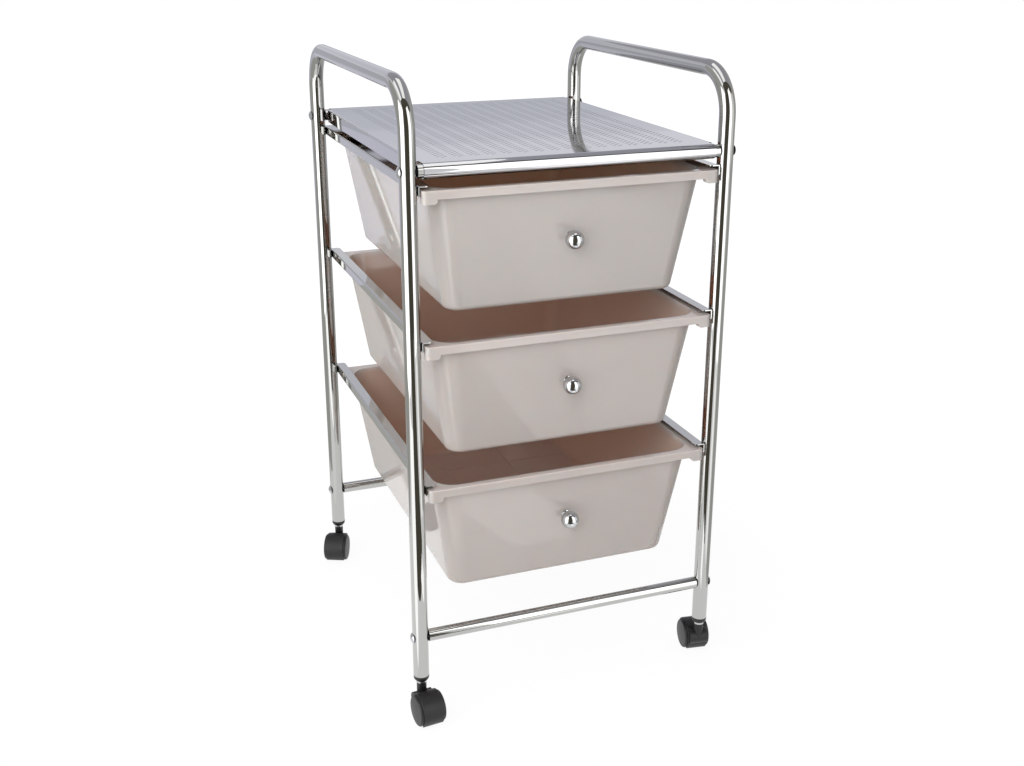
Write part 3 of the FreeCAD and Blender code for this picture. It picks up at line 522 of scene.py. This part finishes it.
def glossy_polypropylene(name, lip_z, painted_bounce):
    """Taupe plastic, with painted warm bounce light and shade below the lip on faces that
    look into the bin.
    """
    material, output = new_material(name)
    inside_starts = lip_z - 0.002
    inside_full = lip_z - 0.006
    flow_width = 0.06
    peel_width = 0.0025
    scuff_width = 0.012
    place = add(material, "ShaderNodeTexCoord").outputs["Object"]
    facing = add(material, "ShaderNodeNewGeometry").outputs["Normal"]
    centred = add(
        material,
        "ShaderNodeVectorMath",
        {0: place, 1: (0, BIN_MIDDLE_Y, 0)},
        operation="SUBTRACT",
    )
    outward = add(
        material,
        "ShaderNodeVectorMath",
        {0: centred.outputs[0], 1: (1, 1, 0)},
        operation="MULTIPLY",
    )
    turned_in = add(
        material,
        "ShaderNodeVectorMath",
        {0: outward.outputs[0], 1: facing},
        operation="DOT_PRODUCT",
    )
    wall_inside = add(
        material,
        "ShaderNodeMapRange",
        {"Value": turned_in.outputs["Value"], "From Min": -0.004, "From Max": -0.014},
    )
    height = add(material, "ShaderNodeSeparateXYZ", {0: place}).outputs["Z"]
    tilt = add(material, "ShaderNodeSeparateXYZ", {0: facing}).outputs["Z"]
    faces_up = add(
        material,
        "ShaderNodeMapRange",
        {"Value": tilt, "From Min": 0.3, "From Max": 0.6},
    )
    below_rim = add(
        material,
        "ShaderNodeMapRange",
        {"Value": height, "From Min": inside_starts, "From Max": inside_full},
    )
    floor_inside = add(
        material,
        "ShaderNodeMath",
        {0: faces_up.outputs[0], 1: below_rim.outputs[0]},
        operation="MULTIPLY",
    )
    wall_below = add(
        material,
        "ShaderNodeMath",
        {0: wall_inside.outputs[0], 1: below_rim.outputs[0]},
        operation="MULTIPLY",
    )
    # Where the painted bounce light and shade goes: inner walls and floor below the lip.
    painted_bounce_share = add(
        material,
        "ShaderNodeMath",
        {0: wall_below.outputs[0], 1: floor_inside.outputs[0]},
        operation="MAXIMUM",
    )
    flow = add(
        material,
        "ShaderNodeTexNoise",
        {"Vector": place, "Scale": 1 / flow_width, "Detail": 3.0},
    )
    tints = []
    for pair in (OUTSIDE, painted_bounce):
        tint = add(
            material,
            "ShaderNodeMix",
            {"Factor": flow.outputs["Fac"], "A": linear(pair[0]), "B": linear(pair[1])},
            data_type="RGBA",
        )
        tints.append(tint.outputs["Result"])
    colour = add(
        material,
        "ShaderNodeMix",
        {"Factor": painted_bounce_share.outputs[0], "A": tints[0], "B": tints[1]},
        data_type="RGBA",
    )
    peel = add(
        material,
        "ShaderNodeTexNoise",
        {"Vector": place, "Scale": 1 / peel_width, "Detail": 1.0},
    )
    scuffs = add(
        material,
        "ShaderNodeTexNoise",
        {"Vector": place, "Scale": 1 / scuff_width, "Detail": 4.0},
    )
    rough = add(
        material,
        "ShaderNodeMapRange",
        {
            "Value": scuffs.outputs["Fac"],
            "From Min": 0.3,
            "From Max": 0.8,
            "To Min": 0.035,
            "To Max": 0.07,
        },
    )
    relief = add(
        material,
        "ShaderNodeBump",
        {"Height": peel.outputs["Fac"], "Strength": 0.25, "Distance": 0.00003},
    )
    plastic = add(
        material,
        "ShaderNodeBsdfPrincipled",
        {
            "Base Color": colour.outputs["Result"],
            "Subsurface Weight": 0.75,
            "Subsurface Radius": (1.0, 0.7, 0.58),
            "Subsurface Scale": 0.006,
            "Roughness": rough.outputs[0],
            "IOR": 1.49,
            "Normal": relief.outputs[0],
        },
    )
    add_surface(material, output, plastic)
    return material


for level in LEVELS:
    plastic_name = f"moulded_polypropylene_{level}"
    dress(f"drawer_{level}", glossy_polypropylene(plastic_name, LIP_Z[level], PAINTED_BOUNCE_INSIDE[level]))


# Knobs: a ball, neck and base turned from one brass bar and chromed, held by a zinc
# plated pan-head screw from inside the drawer. The ball shows the whole studio.
KNOB_PROFILE_MM = (
    (2.05, 0.0),
    (4.55, 0.0),
    (4.75, 0.2),
    (4.75, 0.5),
    (4.4, 0.85),
    (3.55, 1.3),
    (3.2, 1.6),
    (3.2, 1.95),
    (3.5, 2.317),
)
KNOB_BALL_R = 0.0092
KNOB_REACH = 0.0108255
KNOB_DROP = 0.0550
KNOB_Y = -0.17983
KNOB_TILT = math.atan2(20.0, 122.0)  # the front leans 20 mm over its 122 mm height
KNOB_BALL_STEPS = 26
KNOB_SIDES = 64
SHARP_KNOB_EDGE = math.radians(40)
knob_chrome = chrome_on_sheet(
    "chromed_turned_brass",
    "#C6C7C9",
    wave_width=0.006,
    wave_depth=0.000004,
    roughness=0.025,
)
knob_outline = [(radius / 1000, height / 1000) for radius, height in KNOB_PROFILE_MM]
ball_start = math.asin(knob_outline[-1][0] / KNOB_BALL_R)
for i in range(1, KNOB_BALL_STEPS + 1):
    turn = ball_start + (math.pi - ball_start) * i / KNOB_BALL_STEPS
    ball_height = KNOB_REACH - KNOB_BALL_R * math.cos(turn)
    knob_outline.append((KNOB_BALL_R * math.sin(turn), ball_height))
for level in LEVELS:
    bm = bmesh.new()
    line = [bm.verts.new((radius, 0, height)) for radius, height in knob_outline]
    for a, b in zip(line, line[1:]):
        bm.edges.new((a, b))
    bmesh.ops.spin(
        bm,
        geom=bm.verts[:] + bm.edges[:],
        axis=(0, 0, 1),
        cent=(0, 0, 0),
        steps=KNOB_SIDES,
        angle=math.tau,
    )
    bmesh.ops.remove_doubles(bm, verts=bm.verts, dist=MERGE_DISTANCE)
    bmesh.ops.recalc_face_normals(bm, faces=bm.faces)
    for face in bm.faces:
        face.smooth = True
    data = bpy.data.meshes.new(f"turned_knob_{level}")
    bm.to_mesh(data)
    bm.free()
    data.set_sharp_from_angle(angle=SHARP_KNOB_EDGE)
    knob = bpy.data.objects.new(f"turned_knob_{level}", data)
    bpy.context.scene.collection.objects.link(knob)
    knob.location = (0, KNOB_Y, LIP_Z[level] - KNOB_DROP)
    knob.rotation_euler = (math.pi / 2 + KNOB_TILT, 0, 0)
    data.materials.append(knob_chrome)
    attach(knob, f"drawer_{level}")
    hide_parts(f"knob_{level}")
    dress(f"knob_screw_{level}", zinc)


# Casters: twin wheels under a moulded hood, all in black nylon, on a turned steel
# stem with its washer and clip. The hood and wheels have a fine satin mould grain.
CASTER_GRAIN = 0.0007
hood_nylon = moulded_nylon(
    "moulded_black_nylon_hood", ("#151516", "#1B1B1C"), CASTER_GRAIN, dullness=0.46
)
wheel_nylon = moulded_nylon(
    "moulded_black_nylon_wheel", ("#141415", "#1A1A1B"), CASTER_GRAIN, dullness=0.42
)
turned_steel = plated_steel("turned_bright_steel", "#C4C4C4", roughness=0.2)
dress("caster_washers", turned_steel)
for corner in CORNERS:
    dress(f"caster_hood_{corner}", hood_nylon)
    for side in ("left", "right"):
        dress(f"wheel_{side}_{corner}", wheel_nylon)
    for piece in ("caster_stem", "stem_clip", "caster_axle"):
        dress(f"{piece}_{corner}", turned_steel)


# Studio: a floor of white paper under a white world, upright softboxes to the left
# and right of the camera, one in front and a weak one overhead. The paper looks
# white to the camera and in mirrors, and sends less light than that to the trolley.
FLOOR_HALF = 9.0
FLOOR_FADE = (0.3, 0.8)  # from the trolley's middle: a little dimmer, then even
FLOOR_GLOW = 1.06
GLOW_UNDER_TROLLEY = 0.88  # share of the full glow
WORLD_LIGHT = 0.52


def seen_directly(material):
    """A node that gives 1 where the camera, a mirror or glass looks at the surface."""
    rays = add(material, "ShaderNodeLightPath").outputs
    mirrored = add(
        material,
        "ShaderNodeMath",
        {0: rays["Is Camera Ray"], 1: rays["Is Glossy Ray"]},
        operation="MAXIMUM",
    )
    return add(
        material,
        "ShaderNodeMath",
        {0: mirrored.outputs[0], 1: rays["Is Transmission Ray"]},
        operation="MAXIMUM",
    )


floor_signs = ((-1, -1), (1, -1), (1, 1), (-1, 1))
floor_corners = [(sx * FLOOR_HALF, sy * FLOOR_HALF, 0) for sx, sy in floor_signs]
floor_mesh = bpy.data.meshes.new("studio_floor")
floor_mesh.from_pydata(floor_corners, [], [(0, 1, 2, 3)])
floor = bpy.data.objects.new("studio_floor", floor_mesh)
bpy.context.scene.collection.objects.link(floor)
paper, output = new_material("white_studio_paper")
spot = add(paper, "ShaderNodeTexCoord").outputs["Object"]
distance = add(paper, "ShaderNodeVectorMath", {0: spot}, operation="LENGTH").outputs["Value"]
fade = add(
    paper,
    "ShaderNodeMapRange",
    {
        "Value": distance,
        "From Min": FLOOR_FADE[0],
        "From Max": FLOOR_FADE[1],
        "To Min": GLOW_UNDER_TROLLEY,
        "To Max": 1.0,
    },
)
lit = add(paper, "ShaderNodeBsdfDiffuse", {"Color": linear("#DADAD8")})
glow = add(paper, "ShaderNodeEmission", {"Color": linear("#FFFFFF"), "Strength": FLOOR_GLOW})
share = add(
    paper,
    "ShaderNodeMath",
    {0: seen_directly(paper).outputs[0], 1: fade.outputs[0]},
    operation="MULTIPLY",
)
mixed = add(
    paper,
    "ShaderNodeMixShader",
    {0: share.outputs[0], 1: lit.outputs[0], 2: glow.outputs[0]},
)
add_surface(paper, output, mixed)
floor_mesh.materials.append(paper)

world = bpy.data.worlds.new("white_studio")
bpy.context.scene.world = world
world.use_nodes = True
world.node_tree.nodes.clear()
world_output = world.node_tree.nodes.new("ShaderNodeOutputWorld")
strength = add(
    world,
    "ShaderNodeMapRange",
    {"Value": seen_directly(world).outputs[0], "To Min": WORLD_LIGHT, "To Max": 1.0},
)
sky = add(
    world,
    "ShaderNodeBackground",
    {"Color": linear("#FFFFFF"), "Strength": strength.outputs[0]},
)
world.node_tree.links.new(sky.outputs[0], world_output.inputs["Surface"])


def softbox(name, place, aim, width, height, radiance):
    """A rectangular lamp, as bright all over as the radiance says."""
    lamp = bpy.data.lights.new(name, "AREA")
    lamp.shape = "RECTANGLE"
    lamp.size = width
    lamp.size_y = height
    lamp.energy = radiance * math.pi * width * height
    holder = bpy.data.objects.new(name, lamp)
    bpy.context.scene.collection.objects.link(holder)
    holder.location = place
    holder.rotation_euler = (Vector(aim) - Vector(place)).to_track_quat("-Z", "Y").to_euler()
    holder.visible_camera = False
    return holder


softbox(
    "softbox_left",
    place=(-1.02, -0.50, 0.70),
    aim=(0, -0.10, 0.70),
    width=0.84,
    height=1.4,
    radiance=2.15,
)
right = softbox(
    "softbox_right",
    place=(0.50, -1.12, 0.90),
    aim=(0, -0.05, 0.90),
    width=0.60,
    height=1.8,
    radiance=1.45,
)
right.visible_diffuse = False
front = softbox(
    "softbox_front",
    place=(-0.62, -1.00, 1.05),
    aim=(0, -0.20, 0.50),
    width=0.6,
    height=0.8,
    radiance=3.5,
)
front.visible_glossy = False
overhead = softbox(
    "softbox_overhead",
    place=(0.1, 0.0, 1.9),
    aim=(0, 0, 0),
    width=1.2,
    height=1.2,
    radiance=0.55,
)
overhead.visible_glossy = False


# Cards: what the chrome shows of the tent. Its opening towards the camera is dark,
# the table either side of that is lit, and the sweep behind is in shade. The cards
# by the floor lie 1 to 4 mm above it, so that each hides what is meant to be below.
def studio_card(name, tone, strength, corners):
    """A flat card of one tone that only reflections see."""
    mesh = bpy.data.meshes.new(name)
    mesh.from_pydata(corners, [], [tuple(range(len(corners)))])
    card = bpy.data.objects.new(name, mesh)
    bpy.context.scene.collection.objects.link(card)
    cloth, cloth_output = new_material(f"{name}_cloth")
    even = add(cloth, "ShaderNodeEmission", {"Color": linear(tone), "Strength": strength})
    add_surface(cloth, cloth_output, even)
    mesh.materials.append(cloth)
    card.visible_camera = False
    card.visible_diffuse = False
    card.visible_shadow = False
    card.visible_transmission = False


def level_card(name, tone, strength, height, spots):
    """A card that lies level at a height above the floor."""
    studio_card(name, tone, strength, [(x, y, height) for x, y in spots])


def upright_card(name, tone, foot, head, start, end):
    """A card that stands on a line between two spots, from foot to head."""
    corners = [(*start, foot), (*start, head), (*end, head), (*end, foot)]
    studio_card(name, tone, 1.0, corners)


OPENING_TONE = "#565248"
SHADE_TONE = "#BDBDBA"
ROOF_Z = 2.2
ROOF_LIGHT_Z = 1.7
SWEEP_Y = 4.0
SWEEP_HALF = 3.0
SWEEP_FOOT_Y = 1.4
WALL_X = 2.6
WALL_FRONT_Y = -0.9
WALL_TOP = 3.0
SWEEP_BANDS = (
    (0.0, 1.12, "#C6C8D1"),
    (1.12, 1.2, "#CBCDD7"),
    (1.2, 1.28, "#D8D9E2"),
    (1.28, 1.5, "#EAEBF2"),
    (1.5, 3.4, "#DFE0EA"),
)
level_card(
    "tent_opening_floor",
    OPENING_TONE,
    strength=1.0,
    height=0.003,
    spots=((-0.32, -0.40), (-0.88, -1.14), (-0.02, -1.38), (0.12, -0.45)),
)
level_card(
    "lit_table_left",
    "#FFFFFF",
    strength=1.9,
    height=0.002,
    spots=((-0.235, -0.235), (-0.33, -0.42), (-0.62, -0.80), (-1.12, -0.36), (-0.55, -0.215)),
)
level_card(
    "lit_table_beside",
    "#FFFFFF",
    strength=1.1,
    height=0.002,
    spots=(
        (-0.235, -0.235),
        (-0.55, -0.215),
        (-1.12, -0.36),
        (-0.80, -0.15),
        (-0.46, 0.10),
        (-0.30, 0.12),
        (-0.22, -0.02),
    ),
)
level_card(
    "lit_table_front",
    "#FFFFFF",
    strength=1.8,
    height=0.004,
    spots=((-0.07, -0.46), (0.06, -0.46), (0.10, -0.32), (0.02, -0.32)),
)
level_card(
    "lit_table_right",
    "#FFFFFF",
    strength=1.6,
    height=0.002,
    spots=((0.20, -0.46), (0.34, -1.30), (0.62, -0.90), (0.27, -0.36)),
)
level_card(
    "shaded_table_behind",
    SHADE_TONE,
    strength=1.0,
    height=0.001,
    spots=(
        (-0.42, -0.20),
        (-3.0, -0.9),
        (-3.0, 1.4),
        (3.0, 1.4),
        (3.0, -2.0),
        (0.80, -0.85),
        (0.30, -0.33),
        (0.36, 0.36),
        (-0.42, 0.36),
    ),
)
level_card(
    "shaded_sweep_foot",
    "#DADAE7",
    strength=1.0,
    height=0.001,
    spots=(
        (-SWEEP_HALF, SWEEP_FOOT_Y),
        (-SWEEP_HALF, SWEEP_Y),
        (SWEEP_HALF, SWEEP_Y),
        (SWEEP_HALF, SWEEP_FOOT_Y),
    ),
)
upright_card("tent_opening_wall", OPENING_TONE, 0.0, ROOF_Z, (-0.92, -1.14), (0.20, -1.44))
level_card(
    "tent_roof_front",
    "#5C5850",
    strength=1.0,
    height=ROOF_Z,
    spots=((-1.3, -1.6), (3.0, -1.6), (3.0, -0.8), (-1.3, -0.8)),
)
level_card(
    "tent_roof_behind",
    "#B4B4BD",
    strength=1.0,
    height=ROOF_Z,
    spots=((-1.3, -0.8), (3.0, -0.8), (3.0, 3.4), (-1.3, 3.4)),
)
level_card(
    "roof_light_left",
    "#FFFFFF",
    strength=1.7,
    height=ROOF_LIGHT_Z,
    spots=((-0.92, -0.60), (-0.55, -0.60), (-0.55, 0.60), (-0.92, 0.60)),
)
level_card(
    "roof_light_right",
    "#FFFFFF",
    strength=1.6,
    height=ROOF_LIGHT_Z,
    spots=((-0.20, -0.60), (0.30, -0.60), (0.40, 0.60), (-0.20, 0.60)),
)
for foot, head, tone in SWEEP_BANDS:
    ends = (-SWEEP_HALF, SWEEP_Y), (SWEEP_HALF, SWEEP_Y)
    upright_card(f"shaded_sweep_to_{head:.2f}", tone, foot, head, *ends)
for side, x in (("left", -WALL_X), ("right", WALL_X)):
    ends = (x, WALL_FRONT_Y), (x, SWEEP_Y)
    upright_card(f"shaded_wall_{side}", SHADE_TONE, 0.0, WALL_TOP, *ends)


# Camera: the photograph's viewpoint, a little above the trolley and to its left,
# solved from the legs, tubes and rims, with a small upright shift of the lens.
FOCAL_PIXELS = 1236.6
IMAGE_WIDTH = 1024
SENSOR_WIDTH = 36.0
LENS_SHIFT = -0.0253
CAMERA_PLACE = (-0.4528, -1.2282, 0.7627)
DEGREES_DOWN = 19.204
DEGREES_TO_THE_RIGHT = 20.589
camera_data = bpy.data.cameras.new("photo_camera")
camera_data.sensor_width = SENSOR_WIDTH
camera_data.lens = FOCAL_PIXELS * SENSOR_WIDTH / IMAGE_WIDTH
camera_data.shift_y = LENS_SHIFT
camera = bpy.data.objects.new("photo_camera", camera_data)
bpy.context.scene.collection.objects.link(camera)
camera.location = CAMERA_PLACE
camera.rotation_euler = (
    math.radians(90 - DEGREES_DOWN),
    0,
    math.radians(-DEGREES_TO_THE_RIGHT),
)
bpy.context.scene.camera = camera

bpy.context.scene.view_settings.view_transform = "Standard"
